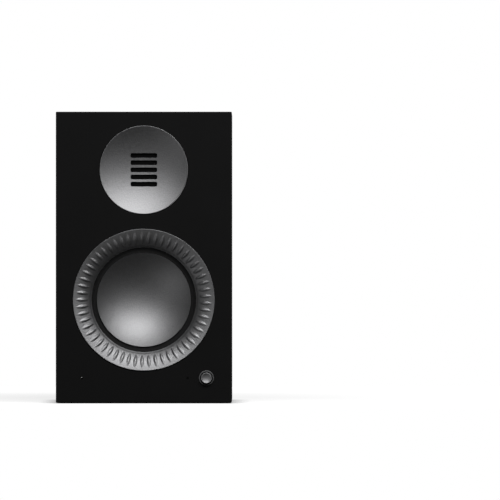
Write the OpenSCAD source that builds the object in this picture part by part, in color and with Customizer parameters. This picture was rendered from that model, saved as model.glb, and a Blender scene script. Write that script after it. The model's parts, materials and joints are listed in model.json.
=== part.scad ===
// Active two-way bookshelf speaker: a wooden cabinet with a woofer in a ribbed trim ring, a folded-ribbon
// tweeter behind a dished faceplate, a turn-and-push control at the front and an amplifier panel at the back.
// Millimetres. +Z is up, the front faces -Y, and the origin is the bottom centre of the whole speaker.

/* [Cabinet] */
// Width of the cabinet
cab_w = 176; // [175:1:190]
// Height of the cabinet without its feet
cab_h = 291; // [290:1:310]
// Depth of the cabinet from its front face to its back face
cab_d = 212; // [208:1:240]
// Thickness of the front baffle
baffle_t = 22; // [21:0.5:24]
// Thickness of the other panels
wall_t = 15; // [12:1:15]
// Radius on the cabinet's outer edges
edge_r = 1; // [0.5:0.1:2]
// How far the feet stand out of the underside
foot_out = 0.7; // [0.5:0.1:1.5]

/* [Woofer] */
// Height of the woofer's axis above the floor
woofer_z = 103.6; // [103:0.1:106]
// Outer radius of the trim ring
ring_r = 71.1; // [70:0.1:72]
// How far the trim ring's edge stands out of the baffle
ring_out = 1.5; // [1:0.1:2]
// Number of ribs round the trim ring
rib_count = 57; // [30:1:60]
// Height of a rib above the ring's face
rib_h = 0.9; // [0.4:0.1:1.2]
// Width of a rib at its middle
rib_w = 3.8; // [3:0.1:4.6]
// Radius of the cone's visible dish
cone_r = 46.9; // [46:0.1:47]
// Depth of the cone's dish
cone_sag = 14; // [11:0.5:15]
// Largest excursion of the cone each way
cone_travel = 3.5; // [2:0.1:4]

/* [Tweeter] */
// Height of the tweeter's centre above the floor
tweeter_z = 233.6; // [233:0.1:236]
// Radius of the tweeter's faceplate
face_r = 44.2; // [43:0.1:45]
// Depth of the faceplate's dish
face_sag = 7; // [6:0.1:7]
// Number of slots in the faceplate
slot_count = 5; // [3:1:5]
// Width of a slot
slot_w = 26.4; // [20:0.1:27]
// Height of a slot
slot_h = 4.5; // [3:0.1:4.6]
// Distance from one slot to the next
slot_pitch = 7.16; // [6.5:0.01:7.3]

/* [Front control] */
// Distance of the knob's axis to the right of the middle
knob_x = 62.6; // [60:0.1:63]
// Height of the control row above the floor
control_z = 25.4; // [25:0.1:28]
// Radius of the knob
knob_r = 5.5; // [5:0.05:5.6]
// How far the knob stands out of the baffle
knob_out = 5.4; // [4:0.1:8]
// Distance of the status light to the right of the middle
status_x = 43.9; // [42:0.1:46]
// Distance of the remote-control window to the left of the middle
ir_x = 62.3; // [60:0.1:64]

/* [Back] */
// Height of the reflex port's axis above the floor
port_z = 232; // [230:1:236]
// Inner radius of the reflex port
port_r = 24; // [20:1:25]
// Length of the reflex port
port_l = 105; // [80:1:110]
// Height of the amplifier panel's centre above the floor
amp_z = 98; // [97:1:100]
// How far the binding posts stand out of the back
post_out = 14; // [13:0.5:16]

/* [Hidden] */
$fn = 96;

// Overall placement. The knob is the foremost piece and the binding posts are the rearmost.
front_y = knob_out - (knob_out + cab_d + post_out) / 2;
back_y = front_y + cab_d;
mid_y = (front_y + back_y) / 2;
half_w = cab_w / 2;
inner_half = half_w - wall_t;
low_z = foot_out;
top_z = low_z + cab_h;
mid_z = low_z + cab_h / 2;
inner_low = low_z + wall_t;
inner_top = top_z - wall_t;
over = 1;               // how far a cutting tool runs past a face

// Feet
foot_r = 9;
foot_h = 3;
foot_inset = 17;        // from the side faces
foot_setback = 34;      // from the front and back faces

// Woofer. Depths run into the cabinet from the baffle's front face.
seat_r = ring_r - 1.9;
seat_d = 12.5;
woofer_hole_r = 57.5;
skirt_r = seat_r - 0.3;
skirt_in_r = skirt_r - 1.7;
bell_r = ring_r - 0.5;  // outer end of the ring's bell-shaped face
bell_low_r = 54.4;      // and its inner end
bell_slope = 0.22;      // fall per millimetre at the outer end
bell_curl = 0.00067;    // how fast the fall grows inwards
lip_r = 53.4;           // a lip lies a steep step behind the bell
lip_d = [6.6, 7.4];     // depth of its face at the step and at the bore
ring_bore_r = 52.3;
ring_foot_d = 8.1;
rib_r = [55.5, 68.3];   // a rib's two ends
flange_r = 66;
flange_d = 9;
flange_t = 3.5;
woofer_screw_r = 62.2;
woofer_screws_n = 6;
woofer_screw_hole = [2, 8.5];   // radius and depth in the baffle
peg_r = 1.7;
cone_t = 0.6;
cone_rim_d = 7.6;
cone_ball_r = (cone_r * cone_r + cone_sag * cone_sag) / (2 * cone_sag);
cone_ball_d = cone_rim_d + cone_sag - cone_ball_r;
surround_d = 8.3;
surround_t = 0.6;
surround_edge_r = 57;
roll = [[45.6, 1.05], [48.4, 1], [49.6, 0.9], [50.8, 0.5], [51.9, 0]];           // face of the rubber's dip
roll_back = [[52.1, 0.6], [50.9, 1.1], [49.6, 1.5], [48.4, 1.6], [45.9, 1.65]];   // and its back
former_r = 19;
former_t = 0.3;
coil_t = 0.65;
spider_d = 31.2;
spider_shelf_d = 31.8;
plate_d = 40;
plate_t = 5;
plate_r = 40;
magnet_t = 15;
magnet_r = 43;
pole_r = 18.5;
yoke_t = 6;

// Tweeter
face_out = 0.5;
face_t = 1.6;
face_rim = 0.45;
face_ball_r = ((face_r - face_rim) * (face_r - face_rim) + face_sag * face_sag) / (2 * face_sag);
face_ball_d = face_sag - face_out - face_ball_r;
tweeter_seat_d = 10.5;
tweeter_hole_r = 36.5;
mount_d = 8.5;
mount_t = 2;
tweeter_screw_r = 39.8;
tweeter_screws_n = 4;
tweeter_screw_hole = [1.7, 9];  // radius and depth in the baffle
amt_w = 46;
amt_h = 52;
pole_t = 3;
gap_t = 8;
pleat_n = 13;
pleat_pitch = 2;
pleat_depth = 5;
film_t = 0.25;
cup_r = 33;
cup_l = 21;

// Front control
bezel_r = 7.7;
bezel_in_r = 6.2;
bezel_out = 0.8;
bezel_hole_r = 7;
control_wall = 10;      // wood left in front of the pockets that hold the boards
shaft_r = 3;
shaft_d = 2;
shaft_l = 12.4;
bushing_r = 4.4;
plunger_r = 2;
plunger_l = 2;
encoder_d = 12.2;
encoder_s = 12;
board_d = 19.4;
board_t = 1.6;
control_board_aside = 8.6;      // from the knob's axis to the middle of the board's pocket
status_r = 1.2;
ir_r = 1.45;

// Back
amp_w = 126;
amp_h = 160;
amp_t = 2.5;
amp_hole_w = 108;
amp_hole_h = 142;
amp_screw_x = 58;
amp_screw_v = 75;
amp_screw_r = 1.6;
tub_w = 106;
tub_h = 138;
tub_l = 66;
tub_t = 1.5;
rca_x = [-46, -30];
rca_v = 58;
usb_x = 0;
usb_v = 58;
post_x = [-46, -26.95];
post_v = 14;
post_stud_r = 3;
post_bore_r = 2.05;
post_cap_r = 7.5;
inlet_x = -34;
inlet_v = -52;
pin_x = 4.3;
pin_r = 1.2;
pin_d = 4;
pin_l = 20;
switch_x = 30;
switch_v = -52;
switch_tilt = 8;
sink_x = 28;
sink_v = 14;

// ---- helpers ----

// Places children on the baffle at (x, z): local +Z runs back into the cabinet.
module front_at(x, z, d = 0) {
    translate([x, front_y + d, z]) rotate([-90, 0, 0]) children();
}

// Places children on the back face at (x, z): local +Z runs forward into the cabinet, local +Y is up.
module rear_at(x, z, d = 0) {
    translate([x, back_y - d, z]) rotate([90, 0, 0]) children();
}

// Places children on the amplifier panel, at x and at v above its centre.
module amp_at(x, v, d = 0) {
    rear_at(x, amp_z + v, d) children();
}

module around(n, start = 0) {
    for (i = [0 : n - 1]) rotate([0, 0, start + i * 360 / n]) children();
}

module round_rect(w, h, r) {
    square([w - 2 * r, h], center = true);
    square([w, h - 2 * r], center = true);
    for (sx = [-1, 1], sy = [-1, 1]) translate([sx * (w / 2 - r), sy * (h / 2 - r)]) circle(r);
}

module tube(r_out, r_in, h) {
    difference() {
        cylinder(r = r_out, h = h);
        translate([0, 0, -over]) cylinder(r = r_in, h = h + 2 * over);
    }
}

module box_at(w, h, t) {
    translate([-w / 2, -h / 2, 0]) cube([w, h, t]);
}

// A wire swept through a list of points, as an eight-sided tube with one ring at each point.
module wire(points, r) {
    sides = 8;
    last = len(points) - 1;
    lean = [0.5, 0.3, 1];
    function unit(v) = v / norm(v);
    function along(i) = unit(
        (i < last ? unit(points[i + 1] - points[i]) : [0, 0, 0])
        + (i > 0 ? unit(points[i] - points[i - 1]) : [0, 0, 0])
    );
    function ring(i) = let (u = unit(cross(along(i), lean)), v = cross(along(i), u))
        [for (k = [0 : sides - 1]) points[i] + r * (cos(k * 360 / sides) * u + sin(k * 360 / sides) * v)];
    skin = [for (i = [0 : last - 1], k = [0 : sides - 1]) each [
        [i * sides + k, i * sides + (k + 1) % sides, (i + 1) * sides + k],
        [(i + 1) * sides + k, i * sides + (k + 1) % sides, (i + 1) * sides + (k + 1) % sides]
    ]];
    polyhedron(
        [for (i = [0 : last]) each ring(i)],
        concat([[for (k = [sides - 1 : -1 : 0]) k]], skin, [[for (k = [0 : sides - 1]) last * sides + k]])
    );
}

// ---- cabinet ----

// The cabinet's outer shape, rounded on every edge.
module cabinet_block() {
    intersection() {
        translate([0, front_y, mid_z]) rotate([-90, 0, 0])
            linear_extrude(cab_d) round_rect(cab_w, cab_h, edge_r);
        translate([0, mid_y, low_z]) linear_extrude(cab_h) round_rect(cab_w, cab_d, edge_r);
        translate([-half_w, mid_y, mid_z]) rotate([0, 90, 0])
            linear_extrude(cab_w) round_rect(cab_h, cab_d, edge_r);
    }
}

// One wall of the shell behind the baffle. The outline is in x and z.
module shell_wall(outline) {
    intersection() {
        cabinet_block();
        translate([0, back_y, 0]) rotate([90, 0, 0])
            linear_extrude(cab_d - baffle_t) polygon(outline);
    }
}

// A pocket in the baffle's back for a small board, w wide and centred at x.
module board_pocket(x, w) {
    pocket_h = 19;
    below = 9;
    translate([x - w / 2, front_y + control_wall, control_z - below]) cube([w, baffle_t, pocket_h]);
}

module front_baffle() {
    lamp_gap = 0.05;
    control_pocket_w = 36;
    ir_pocket_w = 18;
    color("#151515") difference() {
        intersection() {
            cabinet_block();
            translate([-half_w, front_y - over, low_z]) cube([cab_w, baffle_t + over, cab_h]);
        }
        front_at(0, woofer_z, -over) cylinder(r = seat_r, h = seat_d + over);
        front_at(0, woofer_z) cylinder(r = woofer_hole_r, h = baffle_t + over);
        front_at(0, woofer_z, seat_d - over) around(woofer_screws_n)
            translate([woofer_screw_r, 0, 0]) cylinder(r = woofer_screw_hole[0], h = woofer_screw_hole[1] + over);
        front_at(0, tweeter_z, -over) cylinder(r = face_r + 0.3, h = tweeter_seat_d + over);
        front_at(0, tweeter_z) cylinder(r = tweeter_hole_r, h = baffle_t + over);
        front_at(0, tweeter_z, tweeter_seat_d - over) around(tweeter_screws_n, 45)
            translate([tweeter_screw_r, 0, 0]) cylinder(r = tweeter_screw_hole[0], h = tweeter_screw_hole[1] + over);
        front_at(knob_x, control_z, -over) cylinder(r = bezel_hole_r, h = control_wall + 2 * over);
        front_at(status_x, control_z, -over) cylinder(r = status_r + lamp_gap, h = control_wall + 2 * over);
        front_at(-ir_x, control_z, -over) cylinder(r = ir_r + lamp_gap, h = control_wall + 2 * over);
        board_pocket(knob_x - control_board_aside, control_pocket_w);
        board_pocket(-ir_x, ir_pocket_w);
    }
}

module top_panel() {
    color("#151515") shell_wall([
        [-half_w, top_z], [half_w, top_z], [inner_half, inner_top], [-inner_half, inner_top]
    ]);
}

module foot_places() {
    for (sx = [-1, 1], y = [front_y + foot_setback, back_y - foot_setback])
        translate([sx * (half_w - foot_inset), y, 0]) children();
}

module bottom_panel() {
    color("#151515") difference() {
        shell_wall([
            [-half_w, low_z], [half_w, low_z], [inner_half, inner_low], [-inner_half, inner_low]
        ]);
        foot_places() cylinder(r = foot_r + 0.2, h = foot_h);
    }
}

module left_panel() {
    color("#151515") shell_wall([
        [-half_w, low_z], [-half_w, top_z], [-inner_half, inner_top], [-inner_half, inner_low]
    ]);
}

module right_panel() {
    color("#151515") shell_wall([
        [half_w, low_z], [half_w, top_z], [inner_half, inner_top], [inner_half, inner_low]
    ]);
}

module amp_screw_places() {
    for (sx = [-1, 0, 1], sv = [-1, 0, 1])
        if (sx != 0 || sv != 0) amp_at(sx * amp_screw_x, sv * amp_screw_v) children();
}

module back_panel() {
    color("#191919") difference() {
        translate([-inner_half, back_y - wall_t, inner_low])
            cube([2 * inner_half, wall_t, inner_top - inner_low]);
        amp_at(0, 0, -over) linear_extrude(amp_t + over) round_rect(amp_w + 0.8, amp_h + 0.8, 5);
        amp_at(0, 0) linear_extrude(wall_t + over) round_rect(amp_hole_w, amp_hole_h, 4);
        amp_screw_places() cylinder(r = amp_screw_r + 0.1, h = wall_t - over);
        rear_at(0, port_z, -over) cylinder(r = port_r + 12.3, h = 3 + over);
        rear_at(0, port_z) cylinder(r = port_r + 6.3, h = wall_t + over);
    }
}

module brace() {
    brace_t = 12;
    brace_z = 176;
    length = cab_d - baffle_t - wall_t;
    window = [110, 66, 12];     // width, length and corner radius
    window_y = 41;
    color("#9c7a4c") translate([0, front_y + baffle_t + length / 2, brace_z]) linear_extrude(brace_t)
        difference() {
            square([2 * inner_half, length], center = true);
            for (sy = [-1, 1]) translate([0, sy * window_y]) round_rect(window[0], window[1], window[2]);
        }
}

module damping_felt() {
    felt_t = 8;
    gap = 6;                    // to the baffle and to the back panel
    side_gap = 12;              // from the top sheet to the side walls
    side_sheets = [[22, 146], [192, 72]];   // lower edge and height, below and above the brace
    start = front_y + baffle_t + gap;
    length = cab_d - baffle_t - wall_t - 2 * gap;
    color("#4a4a48") {
        for (sx = [-1, 1], sheet = side_sheets)
            translate([sx * (inner_half - felt_t / 2) - felt_t / 2, start, sheet[0]])
                cube([felt_t, length, sheet[1]]);
        translate([-inner_half + side_gap, start, inner_top - felt_t])
            cube([2 * (inner_half - side_gap), length, felt_t]);
    }
}

module feet() {
    color("#1b1b1b") foot_places() cylinder(r = foot_r, h = foot_h);
}

// ---- woofer ----

module woofer_basket() {
    window_w = 34;
    color("#2b2d2f") front_at(0, woofer_z) difference() {
        rotate_extrude() polygon([
            [53, flange_d], [flange_r, flange_d], [flange_r, flange_d + flange_t],
            [57, flange_d + flange_t], [56, 14.5], [44, 33.5], [44, plate_d], [30, plate_d],
            [30, plate_d - 2], [36.5, plate_d - 2], [36.5, spider_shelf_d], [40.2, spider_shelf_d],
            [53, 12.5]
        ]);
        around(6, 30) translate([38, -window_w / 2, 16]) cube([20, window_w, 13]);
        around(woofer_screws_n) translate([woofer_screw_r, 0, flange_d - over])
            cylinder(r = 2.2, h = flange_t + 2 * over);
        around(woofer_screws_n, 30) translate([woofer_screw_r, 0, flange_d - over])
            cylinder(r = peg_r + 0.1, h = flange_t + 2 * over);
    }
}

module woofer_screws() {
    head_r = 3.6;
    head_h = 2.2;
    color("#2a2a2a") front_at(0, woofer_z, flange_d) around(woofer_screws_n)
        translate([woofer_screw_r, 0, 0]) difference() {
            union() {
                translate([0, 0, -head_h]) cylinder(r = head_r, h = head_h);
                cylinder(r = 1.9, h = 11.5);
            }
            translate([0, 0, -head_h - over]) cylinder(r = 1.6, h = 1.4 + over, $fn = 6);
        }
}

// Depth of the trim ring's bell at a radius. It falls faster and faster inwards.
function bell_d(r) = bell_slope * (bell_r - r) + bell_curl * pow(bell_r - r, 3) - ring_out;

// A pointed rib that follows the bell. Its keel sinks into the ring.
module rib() {
    stations = [-0.75, -0.4, 0, 0.4, 0.75];
    keel = 0.7;
    middle = (rib_r[0] + rib_r[1]) / 2;
    reach = (rib_r[1] - rib_r[0]) / 2;
    function at(t, side, out) = [middle + t * reach, side, bell_d(middle + t * reach) - out];
    points = concat(
        [at(-1, 0, 0)],
        [for (t = stations) let (swell = 1 - t * t) each [
            at(t, -rib_w / 2 * swell, 0), at(t, 0, rib_h * swell),
            at(t, rib_w / 2 * swell, 0), at(t, 0, -keel * swell)
        ]],
        [at(1, 0, 0)]
    );
    last = len(points) - 1;
    faces = concat(
        [for (k = [0 : 3]) [0, 1 + k, 1 + (k + 1) % 4]],
        [for (s = [0 : len(stations) - 2], k = [0 : 3]) each [
            [1 + 4 * s + k, 5 + 4 * s + k, 5 + 4 * s + (k + 1) % 4],
            [1 + 4 * s + k, 5 + 4 * s + (k + 1) % 4, 1 + 4 * s + (k + 1) % 4]
        ]],
        [for (k = [0 : 3]) [last, last - 4 + (k + 1) % 4, last - 4 + k]]
    );
    polyhedron(points, faces);
}

module trim_ring() {
    bell_steps = 6;
    bell = [for (i = [0 : bell_steps]) let (r = bell_r - (bell_r - bell_low_r) * i / bell_steps) [r, bell_d(r)]];
    color("#6d6d6f") front_at(0, woofer_z) union() {
        rotate_extrude() polygon(concat(
            [[ring_r, 0], [ring_r, 0.5 - ring_out]],
            bell,
            [
                [lip_r, lip_d[0]], [ring_bore_r, lip_d[1]], [ring_bore_r, ring_foot_d],
                [54.8, ring_foot_d], [58, 4.6], [62, 2.5], [skirt_in_r, 1.2], [skirt_in_r, seat_d - 0.1],
                [skirt_r, seat_d - 0.1], [skirt_r, 0]
            ]
        ));
        around(woofer_screws_n, 30) translate([woofer_screw_r, 0, 1.6]) cylinder(r = peg_r, h = 10.4);
        around(rib_count, 180) rib();
    }
}

// Depth of the cone's back face at a radius.
function cone_back(r) = cone_ball_d + sqrt(pow(cone_ball_r + cone_t, 2) - r * r);

// A rubber sheet that dips between the cone's rim and the ring. Its inner edge is glued behind the cone.
module surround() {
    glue = 0.15;
    inner_r = 44;
    color("#161616") front_at(0, woofer_z) rotate_extrude() polygon(concat(
        [[inner_r, cone_back(inner_r) + glue]],
        [for (p = roll) p + [0, surround_d]],
        [[surround_edge_r, surround_d], [surround_edge_r, surround_d + surround_t]],
        [for (p = roll_back) p + [0, surround_d]],
        [[inner_r, cone_back(inner_r) + glue + surround_t]]
    ));
}

module cone() {
    color("#8a8a8c") front_at(0, woofer_z) intersection() {
        translate([0, 0, cone_ball_d]) difference() {
            sphere(r = cone_ball_r + cone_t);
            sphere(r = cone_ball_r);
        }
        cylinder(r = cone_r, h = cone_sag + 12);
    }
}

module coil_former() {
    former_end = 48;
    start = cone_back(former_r) + 0.02;
    color("#b9b4a6") front_at(0, woofer_z, start) tube(former_r + former_t, former_r, former_end - start);
}

module voice_coil() {
    color("#b5683a") front_at(0, woofer_z, 37)
        tube(former_r + former_t + 0.05 + coil_t, former_r + former_t + 0.05, 10);
}

module spider() {
    inner = former_r + former_t + 0.1;
    outer = 36.6;
    steps = 48;
    cloth_t = 0.4;
    wave = 0.8;
    function ripple(i) = [inner + (outer - inner) * i / steps, spider_d + wave * sin(4 * 360 * i / steps)];
    color("#c9a24a") front_at(0, woofer_z) rotate_extrude() {
        polygon(concat(
            [for (i = [0 : steps]) ripple(i)],
            [for (i = [steps : -1 : 0]) ripple(i) + [0, cloth_t]]
        ));
        translate([outer - 0.1, spider_d]) square([3.3, cloth_t]);
    }
}

module top_plate() {
    color("#8d9094") front_at(0, woofer_z, plate_d) tube(plate_r, former_r + former_t + coil_t + 0.55, plate_t);
}

module magnet() {
    color("#33302e") front_at(0, woofer_z, plate_d + plate_t) tube(magnet_r, 24, magnet_t);
}

module pole_piece() {
    back = plate_d + plate_t + magnet_t;
    vent_r = 5;
    color("#8d9094") front_at(0, woofer_z) rotate_extrude() polygon([
        [vent_r, plate_d - 2], [pole_r, plate_d - 2], [pole_r, back], [plate_r, back],
        [plate_r, back + yoke_t], [vent_r, back + yoke_t]
    ]);
}

module woofer_terminal() {
    color("#2c2c2c") front_at(0, woofer_z) translate([44.1, -8, 34]) cube([2.4, 16, 5]);
    color("#c8a24c") front_at(0, woofer_z)
        for (sy = [-1, 1]) translate([46.5, sy * 5 - 1.5, 36.1]) cube([6, 3, 0.8]);
}

// ---- tweeter ----

module slots(w, h, depth) {
    for (i = [0 : slot_count - 1])
        translate([0, (i - (slot_count - 1) / 2) * slot_pitch, 0])
            linear_extrude(depth) round_rect(w, h, h / 3);
}

module tweeter_faceplate() {
    color("#7c7c7e") front_at(0, tweeter_z) difference() {
        union() {
            intersection() {
                translate([0, 0, face_ball_d]) difference() {
                    sphere(r = face_ball_r + face_t);
                    sphere(r = face_ball_r);
                }
                translate([0, 0, -face_out]) cylinder(r = face_r - 0.4, h = face_sag + 2 * face_t);
            }
            rotate_extrude() polygon([
                [face_r - face_rim, -face_out], [face_r - 0.2, -face_out], [face_r, 0.2 - face_out],
                [face_r, mount_d - 0.1], [face_r - 1.5, mount_d - 0.1], [face_r - 1.5, 1]
            ]);
        }
        slots(slot_w, slot_h, 2 * mount_d);
    }
}

module tweeter_mesh() {
    color("#050505") front_at(0, tweeter_z, mount_d - 0.35) box_at(34, 38, 0.3);
}

module tweeter_mount() {
    window_w = 28;
    window_h = 34.6;
    color("#1f1f1f") front_at(0, tweeter_z, mount_d) difference() {
        cylinder(r = face_r - 0.1, h = mount_t);
        translate([0, 0, -over]) linear_extrude(mount_t + 2 * over) round_rect(window_w, window_h, 2);
        around(tweeter_screws_n, 45) translate([tweeter_screw_r, 0, -over]) cylinder(r = 1.9, h = mount_t + 2 * over);
    }
}

module tweeter_screws() {
    head_r = 2.9;
    head_h = 1.8;
    color("#2a2a2a") front_at(0, tweeter_z, mount_d) around(tweeter_screws_n, 45)
        translate([tweeter_screw_r, 0, 0]) difference() {
            union() {
                translate([0, 0, -head_h]) cylinder(r = head_r, h = head_h);
                cylinder(r = 1.6, h = 10.5);
            }
            translate([0, 0, -head_h - over]) cylinder(r = 1.2, h = 1.1 + over, $fn = 6);
        }
}

// Square-ended slots right through a pole plate.
module pole_slots() {
    for (i = [0 : slot_count - 1])
        translate([0, (i - (slot_count - 1) / 2) * slot_pitch, -over])
            box_at(slot_w - 2, slot_h - 0.2, pole_t + 2 * over);
}

module amt_front_pole() {
    color("#3a3c3e") front_at(0, tweeter_z, mount_d + mount_t + 0.05) difference() {
        box_at(amt_w, amt_h, pole_t);
        pole_slots();
    }
}

// The folded film, one zigzag strip that is as tall as the window.
module amt_diaphragm() {
    film_h = 35;
    function fold(i, shift) = [
        (i - pleat_n) * pleat_pitch / 2, (i % 2 == 0 ? 0 : pleat_depth) + shift
    ];
    color("#c58b3c") front_at(0, tweeter_z, mount_d + mount_t + pole_t + 1.5)
        rotate([-90, 0, 0]) translate([0, 0, -film_h / 2]) linear_extrude(film_h) mirror([0, 1]) polygon(concat(
            [for (i = [0 : 2 * pleat_n]) fold(i, 0)],
            [for (i = [2 * pleat_n : -1 : 0]) fold(i, 2 * film_t)]
        ));
}

module amt_frame() {
    color("#20262b") front_at(0, tweeter_z, mount_d + mount_t + pole_t + 0.1) difference() {
        box_at(30, amt_h, gap_t);
        translate([0, 0, -over]) box_at(26.6, 36, gap_t + 2 * over);
    }
}

module amt_magnets() {
    bar = (amt_w - 30) / 2 - 0.2;
    color("#8f9396") front_at(0, tweeter_z, mount_d + mount_t + pole_t + 0.1)
        for (sx = [-1, 1]) translate([sx * (15.1 + bar / 2) - bar / 2, -amt_h / 2, 0])
            cube([bar, amt_h, gap_t]);
}

module amt_rear_pole() {
    color("#3a3c3e") front_at(0, tweeter_z, mount_d + mount_t + pole_t + gap_t + 0.15) difference() {
        box_at(amt_w, amt_h, pole_t);
        pole_slots();
    }
}

module tweeter_cup() {
    cup_t = 2;
    start = mount_d + mount_t + 2 * pole_t + gap_t + 0.2;
    color("#1d1d1f") front_at(0, tweeter_z, start) difference() {
        union() {
            cylinder(r = cup_r, h = cup_l);
            for (sx = [-1, 1]) translate([sx * 6 - 2, 2, cup_l]) cube([4, 8, 3]);
        }
        translate([0, 0, -over]) cylinder(r = cup_r - cup_t, h = cup_l - cup_t + over);
    }
}

// ---- front control ----

module volume_knob() {
    chamfer = 0.35;
    dish_sag = 0.8;
    dish_r = knob_r - 0.7;
    dish_ball = (dish_r * dish_r + dish_sag * dish_sag) / (2 * dish_sag);
    web_d = 5;
    skirt_d = 8;
    color("#9a9a9c") front_at(knob_x, control_z) difference() {
        rotate_extrude() polygon([
            [0, -knob_out], [knob_r - chamfer, -knob_out], [knob_r, chamfer - knob_out], [knob_r, skirt_d],
            [bushing_r, skirt_d], [bushing_r, web_d], [0, web_d]
        ]);
        translate([0, 0, dish_sag - knob_out - dish_ball]) sphere(r = dish_ball);
        translate([0, 0, shaft_d]) cylinder(r = shaft_r + 0.02, h = web_d - shaft_d + over);
    }
}

module knob_bezel() {
    inner_chamfer = 0.3;
    outer_chamfer = 0.4;
    sleeve_r = bezel_hole_r - 0.05;
    sleeve_d = 8.5;
    color("#77777a") front_at(knob_x, control_z) rotate_extrude() polygon([
        [bezel_in_r, inner_chamfer - bezel_out], [bezel_in_r + inner_chamfer, -bezel_out],
        [bezel_r - outer_chamfer, -bezel_out], [bezel_r, outer_chamfer - bezel_out], [bezel_r, 0],
        [sleeve_r, 0], [sleeve_r, sleeve_d], [bezel_in_r, sleeve_d]
    ]);
}

module encoder_shaft() {
    color("#b9bbbd") front_at(knob_x, control_z, shaft_d) cylinder(r = shaft_r, h = shaft_l);
}

module switch_plunger() {
    color("#d9d9d4") front_at(knob_x, control_z, shaft_d + shaft_l + 0.1) cylinder(r = plunger_r, h = plunger_l);
}

module encoder_body() {
    bushing_d = 9.2;
    cavity_r = shaft_r + 0.05;
    cavity_l = 8.4;
    color("#34383b") front_at(knob_x, control_z) difference() {
        union() {
            translate([0, 0, bushing_d]) cylinder(r = bushing_r - 0.2, h = encoder_d - bushing_d);
            translate([0, 0, encoder_d]) box_at(encoder_s, encoder_s, board_d - encoder_d);
        }
        translate([0, 0, bushing_d - over]) cylinder(r = cavity_r, h = cavity_l + over);
    }
}

module control_board() {
    lamp = [2, 1.6, 1.6];
    color("#1f5134") translate([knob_x - 26, front_y + board_d, control_z - 8.6]) cube([34, board_t, 17]);
    color("#e8e8e8") front_at(status_x, control_z, board_d - lamp[2]) box_at(lamp[0], lamp[1], lamp[2]);
}

// Spacers and screws that hold the control board in its pocket.
module board_fixings() {
    head_h = 1.4;
    for (aside = [10, 22.4]) front_at(knob_x - aside, control_z) {
        color("#c9c9c4") translate([0, 0, control_wall]) tube(2.4, 1.3, board_d - control_wall);
        color("#8b8d90") translate([0, 0, board_d + board_t]) cylinder(r = 2.2, h = head_h);
    }
}

module status_lens() {
    color("#202024") front_at(status_x, control_z, 0.5) cylinder(r = status_r, h = board_d - 1.6 - 0.6);
}

module ir_window() {
    color("#1a0f14") front_at(-ir_x, control_z, 0.1) cylinder(r = ir_r, h = 12);
}

module ir_board() {
    color("#1f5134") translate([-ir_x - 8, front_y + board_d, control_z - 8]) cube([16, board_t, 16]);
    color("#15151a") front_at(-ir_x, control_z, 12.4) box_at(5.6, 6.4, board_d - 12.4);
}

// ---- back ----

module port_tube() {
    flange_h = 3;
    flare = 9;
    tube_t = 2.5;
    end_flare = 5;
    color("#121212") rear_at(0, port_z) rotate_extrude() difference() {
        polygon([
            [port_r, 0], [port_r + 12, 0], [port_r + 12, flange_h], [port_r + 6, flange_h],
            [port_r + 6, 12], [port_r + tube_t, 14], [port_r + tube_t, port_l - 8],
            [port_r + end_flare + tube_t, port_l], [port_r, port_l]
        ]);
        difference() {
            translate([port_r - over, -over]) square([flare + over, flare + over]);
            translate([port_r + flare, flare]) circle(flare);
        }
        difference() {
            translate([port_r - over, port_l - end_flare]) square([end_flare + over, end_flare + over]);
            translate([port_r + end_flare, port_l - end_flare]) circle(end_flare);
        }
    }
}

module amp_plate() {
    through = amp_t + 2 * over;
    rca_hole_r = 4.9;
    post_hole_r = 4;
    usb_hole = [12.6, 11.4];
    inlet_hole = [26.4, 16.4];
    switch_hole = [13.2, 19.4];
    color("#1c1c1e") difference() {
        amp_at(0, 0) linear_extrude(amp_t) round_rect(amp_w, amp_h, 5);
        amp_screw_places() translate([0, 0, -over]) cylinder(r = amp_screw_r + 0.2, h = through);
        for (x = rca_x) amp_at(x, rca_v, -over) cylinder(r = rca_hole_r, h = through);
        for (x = post_x) amp_at(x, post_v, -over) cylinder(r = post_hole_r, h = through);
        amp_at(usb_x, usb_v, -over) box_at(usb_hole[0], usb_hole[1], through);
        amp_at(inlet_x, inlet_v, -over) box_at(inlet_hole[0], inlet_hole[1], through);
        amp_at(switch_x, switch_v, -over) box_at(switch_hole[0], switch_hole[1], through);
    }
}

module amp_screws() {
    head_r = 3;
    head_h = 1.9;
    screw_l = 12.5;
    socket_r = 1.3;
    socket_deep = 1.2;
    color("#26272a") amp_screw_places() difference() {
        union() {
            translate([0, 0, -head_h]) cylinder(r = head_r, h = head_h);
            cylinder(r = amp_screw_r, h = screw_l);
        }
        translate([0, 0, -head_h - over]) cylinder(r = socket_r, h = socket_deep + over, $fn = 6);
    }
}

module amp_tub() {
    grommet_r = 6;
    color("#1b1b1c") amp_at(0, 0, amp_t + 0.05) difference() {
        box_at(tub_w, tub_h, tub_l);
        translate([0, 0, -over]) box_at(tub_w - 2 * tub_t, tub_h - 2 * tub_t, tub_l - tub_t + over);
        translate([30, 20, tub_l - 2 * tub_t]) cylinder(r = grommet_r, h = 3 * tub_t);
    }
}

// The amplifier board with its transformer, capacitors and chip cooler.
module amp_board() {
    board_e = 32;
    parts_e = board_e + board_t;
    foot_e = amp_t + 0.05;
    standoff_r = 3;
    standoffs = [[-36, 36], [36, 50], [-36, -28], [38, -32]];
    capacitor_r = 8;
    color("#1f5134") amp_at(0, 0, board_e) box_at(92, 118, board_t);
    color("#c8a24c") amp_at(-22, -38, parts_e) box_at(28, 24, 22);
    color("#23303c") for (v = [-44, -26]) amp_at(16, v, parts_e) cylinder(r = capacitor_r, h = 24);
    color("#9fa2a5") amp_at(8, 16, parts_e) box_at(40, 24, 14);
    color("#cfcfcf") for (place = standoffs)
        amp_at(place[0], place[1], foot_e) cylinder(r = standoff_r, h = board_e - foot_e);
}

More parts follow.
